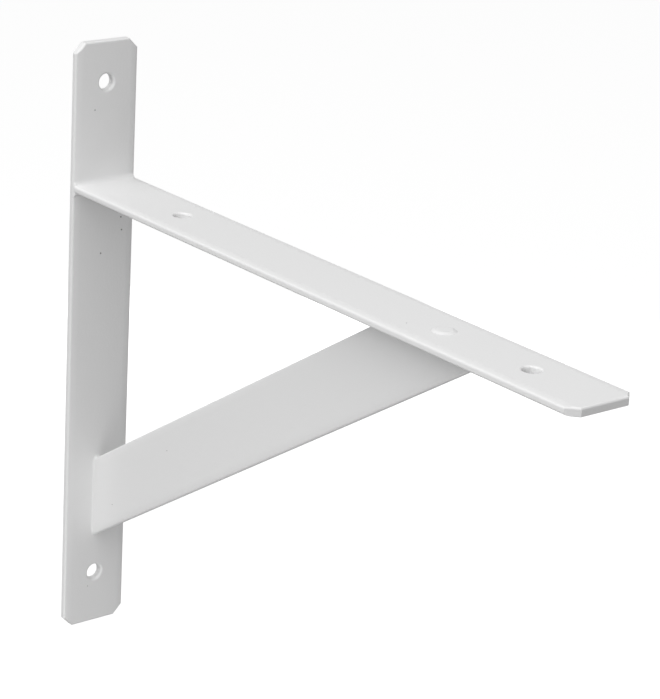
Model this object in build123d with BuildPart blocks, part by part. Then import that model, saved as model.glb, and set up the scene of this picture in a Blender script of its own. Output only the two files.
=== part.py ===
from build123d import *
import os
from math import asin, atan2, cos, degrees, sin

# Gallows shelf bracket, millimetres, +Z up.
# X = 0 is the wall and +X points away from it, Y = 0 is the middle of the bars' width,
# and Z = 0 is the top of the arm, where the shelf lies.

# The flat bar that all three members are cut from
bar_width = 40.0
bar_thickness = 4.5
edge_reach = 4.4        # how far in from its side the rolled edge starts to fall away
edge_drop = 0.3         # how far it has fallen where it turns into the rounded nose
edge_flat = 1.3         # what is left flat in the middle of the side

# Upright, screwed to the wall
upright_above = 78.5    # from the top of the arm up to its upper end
upright_below = 265.0   # from the top of the arm down to its lower end
upright_clip = 5.8      # corner cut at 45 degrees
upper_screw_height = 55.5
lower_screw_drop = 234.3

# Arm, under the shelf
arm_reach = 400.0       # from the wall to its free end
arm_clip = 5.5
inner_screw_reach = 78.0
outer_screw_reach = 351.7
plug_reach = 290.7

# Screw holes, punched: their mouths on the upright's face and the arm's top are drawn in softly
screw_bore = 9.0
upright_mouth = 1.5
arm_mouth = 1.2

# Brace, on edge from the upright's face to the arm's underside
brace_foot_drop = 187.2     # its centre line at the upright's face, below the top of the arm
brace_head_reach = 289.3    # its centre line at the arm's underside, from the wall

# Rims of the cut ends
face_rim = 1.2          # rolled over by the shear
back_rim = 0.5

# Welds
arm_weld_leg = 2.0
arm_weld_hollow = 0.34      # depth at the throat: 0.29 is a quarter circle, 0.5 a flat face
arm_weld_round = 3.5        # its ends, flush with the bars' sides
brace_weld_radius = 1.3
plug_bore = screw_bore      # the hole it is made through
plug_foot = 12.6            # its raised button, across the foot and across the top
plug_top = 8.6
plug_rise = 0.8
plug_round = 4.0

half_width = bar_width / 2
half_thickness = bar_thickness / 2
upright_length = upright_above + upright_below
upright_middle = (upright_above - upright_below) / 2
plate_margin = 2 * bar_thickness
same_place = 0.01


def bar_section(plane):
    """The bar's cross-section on a plane: width along its x, thickness along its y."""
    nose = half_thickness - edge_flat / 2 - edge_drop
    run_in = edge_reach - nose
    crown = (run_in**2 + (nose + edge_drop) ** 2 - nose**2) / (2 * edge_drop)
    fall = degrees(asin(run_in / (crown - nose)))
    with BuildSketch(plane) as section:
        with BuildLine():
            face = Line((0, half_thickness), (half_width - edge_reach, half_thickness))
            rolled = JernArc(face @ 1, face % 1, crown, -fall)
            rounded = JernArc(rolled @ 1, rolled % 1, nose, fall - 90)
            Line(rounded @ 1, (half_width, 0))
            mirror(about=Plane.XZ)
            mirror(about=Plane.YZ)
        make_face()
    return section.sketch


def cut_plate(plan, length, clip):
    """A plate as thick as the bar but wider, whose clipped ends are those that the bar is cut to."""
    through = Axis(plan.origin, plan.z_dir)
    with BuildPart() as plate:
        with BuildSketch(plan) as outline:
            Rectangle(bar_width + 2 * plate_margin, length)
            chamfer(outline.vertices(), clip + plate_margin)
        extrude(amount=bar_thickness)
        for side, rim in ((-1, face_rim), (0, back_rim)):
            fillet(plate.faces().filter_by(plan).sort_by(through)[side].edges(), rim)
    return plate.part


def fillet_weld(mitred_bar, axis, level):
    """The ring of weld round a bar's mitred end, made on a round pad in place of the flat face
    that the end stands on."""
    mitre = mitred_bar.faces().filter_by_position(axis, level, level)[0]
    seam_points = [edge @ 0.5 for edge in mitre.edges()]
    with BuildPart() as ring:
        with BuildSketch(Plane(mitre)):
            Circle(mitre.bounding_box().size.length)
        extrude(amount=bar_thickness)
        pad = ring.part
        add(mitred_bar)
        seam = ring.edges().filter_by(
            lambda edge: any((edge @ 0.5 - point).length < same_place for point in seam_points)
        )
        fillet(seam, brace_weld_radius)
        add([pad, mitred_bar], mode=Mode.SUBTRACT)
    return ring.part


# Upright
upright_section = Plane(origin=(half_thickness, 0, -upright_below), x_dir=(0, 1, 0), z_dir=(0, 0, 1))
upright_plan = Plane(origin=(0, 0, upright_middle), x_dir=(0, 1, 0), z_dir=(1, 0, 0))
upright_ends = cut_plate(upright_plan, upright_length, upright_clip)
with BuildPart() as wall_bar:
    extrude(bar_section(upright_section), amount=upright_length)
    add(upright_ends, mode=Mode.INTERSECT)
    with Locations(
        Plane(origin=(bar_thickness, 0, upper_screw_height), z_dir=(1, 0, 0)),
        Plane(origin=(bar_thickness, 0, -lower_screw_drop), z_dir=(1, 0, 0)),
    ):
        Hole(screw_bore / 2)
    front_rims = wall_bar.edges().filter_by_position(Axis.X, bar_thickness, bar_thickness)
    fillet(front_rims.filter_by(GeomType.CIRCLE), upright_mouth)
wall_bar.part.label = "wall_bar"

# Arm, cut square where it meets the upright: only one end of its plate reaches it
arm_length = arm_reach - bar_thickness
arm_plan = Plane(origin=(0, 0, -bar_thickness), x_dir=(0, -1, 0), z_dir=(0, 0, 1))
arm_ends = cut_plate(arm_plan, 2 * arm_reach, arm_clip)
arm_section = Plane(origin=(bar_thickness, 0, -half_thickness), x_dir=(0, 1, 0), z_dir=(1, 0, 0))
with BuildPart() as shelf_arm:
    extrude(bar_section(arm_section), amount=arm_length)
    add(arm_ends, mode=Mode.INTERSECT)
    with Locations((inner_screw_reach, 0), (outer_screw_reach, 0)):
        Hole(screw_bore / 2)
    top_rims = shelf_arm.edges().filter_by_position(Axis.Z, 0, 0)
    fillet(top_rims.filter_by(GeomType.CIRCLE), arm_mouth)
    with Locations((plug_reach, 0)):
        Hole(plug_bore / 2)
shelf_arm.part.label = "shelf_arm"

# Brace, cut to a mitre at both ends
run = brace_head_reach - bar_thickness
rise = brace_foot_drop - bar_thickness
brace_angle = atan2(rise, run)
brace_line = Vector(cos(brace_angle), 0, sin(brace_angle))
brace_up = Vector(-sin(brace_angle), 0, cos(brace_angle))
overrun = half_width * (run / rise + rise / run)
foot = Vector(bar_thickness, 0, -brace_foot_drop)
head = Vector(brace_head_reach, 0, -bar_thickness)
brace_section = Plane(origin=foot - brace_line * overrun, x_dir=brace_up, z_dir=brace_line)
with BuildPart() as brace:
    extrude(bar_section(brace_section), amount=(head - foot).length + 2 * overrun)
    split(bisect_by=Plane(origin=(bar_thickness, 0, 0), z_dir=(1, 0, 0)))
    split(bisect_by=Plane(origin=(0, 0, -bar_thickness), z_dir=(0, 0, -1)))
brace.part.label = "brace"

# Weld round the arm's end: a hollow bead above and below, joined through the two grooves that
# the rolled edges leave between the bars
bead_thickness = bar_thickness + 2 * arm_weld_leg
bead_reach = bar_thickness + arm_weld_leg
throat_depth = arm_weld_hollow * arm_weld_leg
with BuildPart() as arm_weld:
    with BuildSketch(Plane.XZ.offset(-half_width)):
        for side, face in ((1, 0), (-1, -bar_thickness)):
            toe = (bar_thickness, face + side * arm_weld_leg)
            throat = (bar_thickness + throat_depth, face + side * throat_depth)
            with BuildLine():
                ThreePointArc(toe, throat, (bead_reach, face))
                Polyline(
                    (bead_reach, face),
                    (bead_reach, -half_thickness),
                    (half_thickness, -half_thickness),
                    (half_thickness, face + side * arm_weld_leg),
                    toe,
                )
            make_face()
    extrude(amount=bar_width)
    with BuildSketch(upright_section):
        RectangleRounded(bar_width, bead_thickness, arm_weld_round)
    extrude(amount=upright_length, mode=Mode.INTERSECT)
    with BuildSketch(arm_section.offset(-half_thickness)):
        RectangleRounded(bar_width, bead_thickness, arm_weld_round)
    extrude(amount=arm_length, mode=Mode.INTERSECT)
    add([wall_bar.part, shelf_arm.part], mode=Mode.SUBTRACT)
arm_weld.part.label = "arm_weld"

# Plug weld: it fills a hole in the arm over the brace's head, and ends in a low button
with BuildPart() as plug_weld:
    with BuildSketch(Plane(origin=(plug_reach, 0, 0), x_dir=(1, 0, 0), z_dir=(0, -1, 0))):
        with BuildLine():
            shoulder = (plug_top / 2, plug_rise)
            Polyline(
                (0, plug_rise),
                shoulder,
                (plug_foot / 2, 0),
                (plug_bore / 2, 0),
                (plug_bore / 2, -bar_thickness),
                (0, -bar_thickness),
                close=True,
            )
        outline = make_face()
        fillet(outline.vertices().sort_by_distance(shoulder)[0], plug_round)
    revolve(axis=Axis((plug_reach, 0, 0), (0, 0, 1)))
plug_weld.part.label = "plug_weld"

# Welds round the brace's ends
brace_foot_weld = fillet_weld(brace.part, Axis.X, bar_thickness)
brace_foot_weld.label = "brace_foot_weld"
brace_head_weld = fillet_weld(brace.part, Axis.Z, -bar_thickness)
brace_head_weld.label = "brace_head_weld"

os.makedirs("parts", exist_ok=True)
bars = [wall_bar.part, shelf_arm.part, brace.part]
welds = [arm_weld.part, plug_weld.part, brace_foot_weld, brace_head_weld]
for piece in bars + welds:
    export_step(piece, f"parts/{piece.label}.step")
print(f"brace rises at {degrees(brace_angle):.2f} degrees")
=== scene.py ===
"""The look of the white gallows shelf bracket: its powder coat, a pale floor, soft light and the camera."""

from math import cos, radians, sin, sqrt

import bmesh
import bpy
from mathutils import Matrix, Vector


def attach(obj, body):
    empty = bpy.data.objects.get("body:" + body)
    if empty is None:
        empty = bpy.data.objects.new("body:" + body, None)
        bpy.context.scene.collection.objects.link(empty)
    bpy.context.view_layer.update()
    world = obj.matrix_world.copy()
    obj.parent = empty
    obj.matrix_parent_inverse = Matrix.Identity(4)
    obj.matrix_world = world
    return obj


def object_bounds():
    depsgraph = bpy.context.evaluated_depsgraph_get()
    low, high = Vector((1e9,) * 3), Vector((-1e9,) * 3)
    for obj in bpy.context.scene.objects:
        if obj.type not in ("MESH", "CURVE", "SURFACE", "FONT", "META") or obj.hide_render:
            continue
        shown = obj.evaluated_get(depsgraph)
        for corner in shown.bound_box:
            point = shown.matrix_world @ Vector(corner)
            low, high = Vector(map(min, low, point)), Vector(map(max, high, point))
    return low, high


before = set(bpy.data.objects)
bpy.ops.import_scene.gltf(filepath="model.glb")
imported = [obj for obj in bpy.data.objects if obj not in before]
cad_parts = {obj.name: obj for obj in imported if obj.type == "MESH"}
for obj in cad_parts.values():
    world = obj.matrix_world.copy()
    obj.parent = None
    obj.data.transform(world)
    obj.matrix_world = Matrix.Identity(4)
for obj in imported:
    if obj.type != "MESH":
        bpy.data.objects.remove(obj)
cad_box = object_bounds()
scene = bpy.context.scene

# The flat bar of the three members, in metres
bar_half_width = 0.020
bar_thickness = 0.0045
face_start = 0.0044         # in from a bar's side, where its rolled edge begins
face_radius = 0.01747
nose_start = 0.00105        # in from a bar's side, where its nose begins
nose_radius = 0.0013
nose_drop = 0.0016

# The camera, at the photograph's viewing angle
image_width = 660
image_height = 699
sensor_size = 36.0
focal_pixels = 2659.2
centre_pixel = (336.55, 348.08)
camera_eye = Vector((1.16989, -0.79106, 0.40430))
camera_azimuth = 50.445
camera_elevation = 19.391
camera_roll = 3.272
far_clip = 100


def add_camera():
    """The camera that took the photograph: a long lens, a little above the arm."""
    lens = bpy.data.cameras.new("camera")
    lens.sensor_fit = "AUTO"
    lens.sensor_width = sensor_size
    lens.lens = focal_pixels / image_height * sensor_size
    lens.shift_x = (image_width / 2 - centre_pixel[0]) / image_height
    lens.shift_y = (centre_pixel[1] - image_height / 2) / image_height
    lens.clip_end = far_clip
    camera = bpy.data.objects.new("camera", lens)
    turn = Matrix.Rotation(radians(camera_azimuth), 4, "Z")
    tilt = Matrix.Rotation(radians(90 - camera_elevation), 4, "X")
    roll = Matrix.Rotation(radians(camera_roll), 4, "Z")
    camera.matrix_world = Matrix.Translation(camera_eye) @ turn @ tilt @ roll
    scene.collection.objects.link(camera)
    scene.camera = camera


# Light
white = (1.0, 1.0, 1.0, 1.0)
world_level = 0.318
shown_in_gloss = 0.2        # share of the white background that gloss shows
light_target = Vector((0.15, 0.0, -0.09))

# Softboxes: name, direction from the bracket, distance, size, power and whether gloss shows it
softboxes = (
    ("key", Vector((0.11, -0.57, 0.80)), 2.2, 2.8, 53.3, True),
    ("side_fill", Vector((0.95, 0.25, 0.10)), 2.2, 1.4, 4.2, True),
    ("low_reflector", Vector((0.33, -0.48, -0.78)), 0.52, 0.45, 0.77, True),
    ("back_fill", Vector((-0.75, 0.62, -0.12)), 2.0, 0.6, 7.0, False),
)


def add_world():
    """A white world: plain soft light from all round, and pure white where the camera sees it."""
    world = bpy.data.worlds.new("world")
    scene.world = world
    world.use_nodes = True
    nodes = world.node_tree.nodes
    links = world.node_tree.links
    nodes.clear()
    output = nodes.new("ShaderNodeOutputWorld")
    mix = nodes.new("ShaderNodeMixShader")
    light = nodes.new("ShaderNodeBackground")
    light.inputs["Color"].default_value = white
    light.inputs["Strength"].default_value = world_level
    shown = nodes.new("ShaderNodeBackground")
    shown.inputs["Color"].default_value = white
    shown.inputs["Strength"].default_value = 1.0
    links.new(seen_directly(nodes, links), mix.inputs["Fac"])
    links.new(light.outputs["Background"], mix.inputs[1])
    links.new(shown.outputs["Background"], mix.inputs[2])
    links.new(mix.outputs["Shader"], output.inputs["Surface"])


def seen_directly(nodes, links):
    """1 for what the camera sees itself or through glass, less in gloss, and 0 for light."""
    path = nodes.new("ShaderNodeLightPath")
    gloss = nodes.new("ShaderNodeMath")
    gloss.operation = "MULTIPLY"
    gloss.inputs[1].default_value = shown_in_gloss
    links.new(path.outputs["Is Glossy Ray"], gloss.inputs[0])
    either = nodes.new("ShaderNodeMath")
    either.operation = "MAXIMUM"
    links.new(path.outputs["Is Camera Ray"], either.inputs[0])
    links.new(gloss.outputs["Value"], either.inputs[1])
    any_of_them = nodes.new("ShaderNodeMath")
    any_of_them.operation = "MAXIMUM"
    links.new(either.outputs["Value"], any_of_them.inputs[0])
    links.new(path.outputs["Is Transmission Ray"], any_of_them.inputs[1])
    return any_of_them.outputs["Value"]


def add_softbox(name, direction, distance, size, power, in_gloss):
    """A square softbox that faces the bracket from a direction, and that the camera doesn't see."""
    light = bpy.data.lights.new(name, "AREA")
    light.shape = "SQUARE"
    light.size = size
    light.energy = power
    lamp = bpy.data.objects.new(name, light)
    place = light_target + direction.normalized() * distance
    lamp.matrix_world = Matrix.Translation(place) @ direction.to_track_quat("Z", "Y").to_matrix().to_4x4()
    lamp.visible_camera = False
    lamp.visible_glossy = in_gloss
    scene.collection.objects.link(lamp)


# Floor
floor_size = 12.0
floor_drop = 0.40
floor_colour = (0.25, 0.25, 0.25, 1.0)
floor_shown = 0.88


def add_floor():
    """A plain pale floor well below the bracket, which shows white and keeps a faint shadow."""
    half = floor_size / 2
    level = cad_box[0][2] - floor_drop
    mesh = bpy.data.meshes.new("floor")
    corners = [(-half, -half, level), (half, -half, level), (half, half, level), (-half, half, level)]
    mesh.from_pydata(corners, [], [(0, 1, 2, 3)])
    floor = bpy.data.objects.new("floor", mesh)
    scene.collection.objects.link(floor)
    material = bpy.data.materials.new("floor")
    material.use_nodes = True
    nodes = material.node_tree.nodes
    links = material.node_tree.links
    nodes.clear()
    output = nodes.new("ShaderNodeOutputMaterial")
    diffuse = nodes.new("ShaderNodeBsdfDiffuse")
    diffuse.inputs["Color"].default_value = floor_colour
    glow = nodes.new("ShaderNodeEmission")
    share = nodes.new("ShaderNodeMath")
    share.operation = "MULTIPLY"
    share.inputs[1].default_value = floor_shown
    links.new(seen_directly(nodes, links), share.inputs[0])
    links.new(share.outputs["Value"], glow.inputs["Strength"])
    both = nodes.new("ShaderNodeAddShader")
    links.new(diffuse.outputs["BSDF"], both.inputs[0])
    links.new(glow.outputs["Emission"], both.inputs[1])
    links.new(both.outputs["Shader"], output.inputs["Surface"])
    mesh.materials.append(material)


# Powder coat
coat_colour = (0.86, 0.86, 0.86, 1.0)
coat_roughness = 0.38
peel_scale = 620.0
peel_detail = 2.0
peel_height = 0.00006


def powder_coat(name, colour):
    """Powder coat: satin, with a fine orange peel."""
    material = bpy.data.materials.new(name)
    material.use_nodes = True
    nodes = material.node_tree.nodes
    links = material.node_tree.links
    shader = nodes["Principled BSDF"]
    shader.inputs["Base Color"].default_value = colour
    shader.inputs["Roughness"].default_value = coat_roughness
    place = nodes.new("ShaderNodeTexCoord")
    peel = nodes.new("ShaderNodeTexNoise")
    peel.inputs["Scale"].default_value = peel_scale
    peel.inputs["Detail"].default_value = peel_detail
    links.new(place.outputs["Object"], peel.inputs["Vector"])
    bump = nodes.new("ShaderNodeBump")
    bump.inputs["Distance"].default_value = peel_height
    links.new(peel.outputs["Fac"], bump.inputs["Height"])
    links.new(bump.outputs["Normal"], shader.inputs["Normal"])
    return material


def coat_nodes():
    """Every CAD node of the bracket wears the same white coat, which this gives back."""
    coat = powder_coat("powder_coat", coat_colour)
    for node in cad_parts.values():
        node.data.materials.clear()
        node.data.materials.append(coat)
    return coat


# Nibs, low bumps in the coat, coloured dark grey as painted shade of pinholes and of the bumps' shaded
# sides
# painted shade: this dark grey stands in for the shade in pinholes and under the bumps
nib_painted_shade_colour = (0.22, 0.22, 0.22, 1.0)
nib_height = 0.35       # of its width
nib_sunk = 0.15         # how much of its height goes on below the surface
nib_detail = 2
out_of_upright = Vector((1, 0, 0))
out_of_brace = Vector((0, -1, 0))
out_of_arm = Vector((0, 0, 1))
upright_face = bar_thickness
brace_face = -bar_thickness / 2
arm_top = 0.0

# Each nib's place, the direction in which it stands out, and its width
nibs = (
    (Vector((upright_face, 0.0116, -0.0222)), out_of_upright, 0.0009),
    (Vector((upright_face, 0.0122, -0.0297)), out_of_upright, 0.0009),
    (Vector((upright_face, -0.0013, -0.0414)), out_of_upright, 0.0010),
    (Vector((upright_face, -0.0073, 0.0408)), out_of_upright, 0.0007),
    (Vector((upright_face, -0.0045, -0.2423)), out_of_upright, 0.0005),
    (Vector((0.0240, brace_face, -0.1847)), out_of_brace, 0.0005),
    (Vector((0.0749, brace_face, -0.1344)), out_of_brace, 0.0005),
    (Vector((0.2730, -0.0083, arm_top)), out_of_arm, 0.0005),
)


def add_nibs():
    """Low domes on the flat faces where the coat has specks, dark grey with painted shade."""
    domes = bmesh.new()
    for place, outward, width in nibs:
        dome = bmesh.ops.create_icosphere(domes, subdivisions=nib_detail, radius=1.0)
        turn = outward.to_track_quat("Z", "Y").to_matrix().to_4x4()
        size = Matrix.Diagonal((width / 2, width / 2, width * nib_height, 1.0))
        for point in dome["verts"]:
            if point.co.z < 0:
                point.co.z *= nib_sunk
        bmesh.ops.transform(domes, matrix=Matrix.Translation(place) @ turn @ size, verts=dome["verts"])
    mesh = bpy.data.meshes.new("coat_nibs")
    domes.to_mesh(mesh)
    domes.free()
    mesh.polygons.foreach_set("use_smooth", [True] * len(mesh.polygons))
    # the nibs' dark grey coat is painted shade
    mesh.materials.append(powder_coat("painted_nib_shade", nib_painted_shade_colour))
    piece = bpy.data.objects.new("coat_nibs", mesh)
    scene.collection.objects.link(piece)
    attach(piece, "root")


# Fillet over the arm's root: weld and coat run together in the corner above the arm
fillet_radius = 0.0028
fillet_round = 0.0012       # its rounded ends
fillet_sunk = 0.0002
fillet_steps = 10
fillet_stations = (0.0002, 0.0004, 0.0007, 0.00105, 0.0015, 0.0021, 0.0028, 0.0036, 0.0044)
sharp_angle = 40


def edge_fall(inward):
    """How far a bar's face has fallen away at a distance in from its side."""
    if inward >= face_start:
        return 0.0
    if inward >= nose_start:
        return face_radius - sqrt(face_radius**2 - (face_start - inward) ** 2)
    return nose_drop - sqrt(nose_radius**2 - (nose_radius - inward) ** 2)


def fillet_row(across, inward):
    """The fillet's section at one place across the bars, from inside the upright to inside the arm."""
    fall = edge_fall(inward)
    face = bar_thickness - fall
    level = arm_top - fall
    short = 1 - min(inward / fillet_round, 1)    # of the full size, towards its rounded ends
    size = fillet_radius * sqrt(1 - short**2)
    row = [(face - fillet_sunk, across, level + size)]
    for step in range(fillet_steps + 1):
        angle = radians(90 * step / fillet_steps)
        row.append((face + size * (1 - cos(angle)), across, level + size * (1 - sin(angle))))
    row.append((face + size, across, level - fillet_sunk))
    row.append((face - fillet_sunk, across, level - fillet_sunk))
    return row


def add_root_fillet(coat):
    """A hollow fillet right across the arm's root, which follows the bars' rolled edges."""
    near = [(inward - bar_half_width, inward) for inward in fillet_stations]
    far = [(bar_half_width - inward, inward) for inward in reversed(fillet_stations)]
    rows = [fillet_row(across, inward) for across, inward in near + far]
    count = len(rows[0])
    faces = [tuple(range(count)), tuple(reversed(range((len(rows) - 1) * count, len(rows) * count)))]
    for index in range(len(rows) - 1):
        for place in range(count):
            here = index * count + place
            after = index * count + (place + 1) % count
            faces.append((after, here, here + count, after + count))
    mesh = bpy.data.meshes.new("root_fillet")
    mesh.from_pydata([point for row in rows for point in row], [], faces)
    shape = bmesh.new()
    shape.from_mesh(mesh)
    bmesh.ops.recalc_face_normals(shape, faces=shape.faces)
    shape.to_mesh(mesh)
    shape.free()
    mesh.polygons.foreach_set("use_smooth", [True] * len(mesh.polygons))
    mesh.set_sharp_from_angle(angle=radians(sharp_angle))
    mesh.materials.append(coat)
    piece = bpy.data.objects.new("root_fillet", mesh)
    scene.collection.objects.link(piece)
    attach(piece, "root")


scene.view_settings.view_transform = "Standard"
add_camera()
add_world()
for softbox in softboxes:
    add_softbox(*softbox)
add_floor()
coat = coat_nodes()
add_nibs()
add_root_fillet(coat)
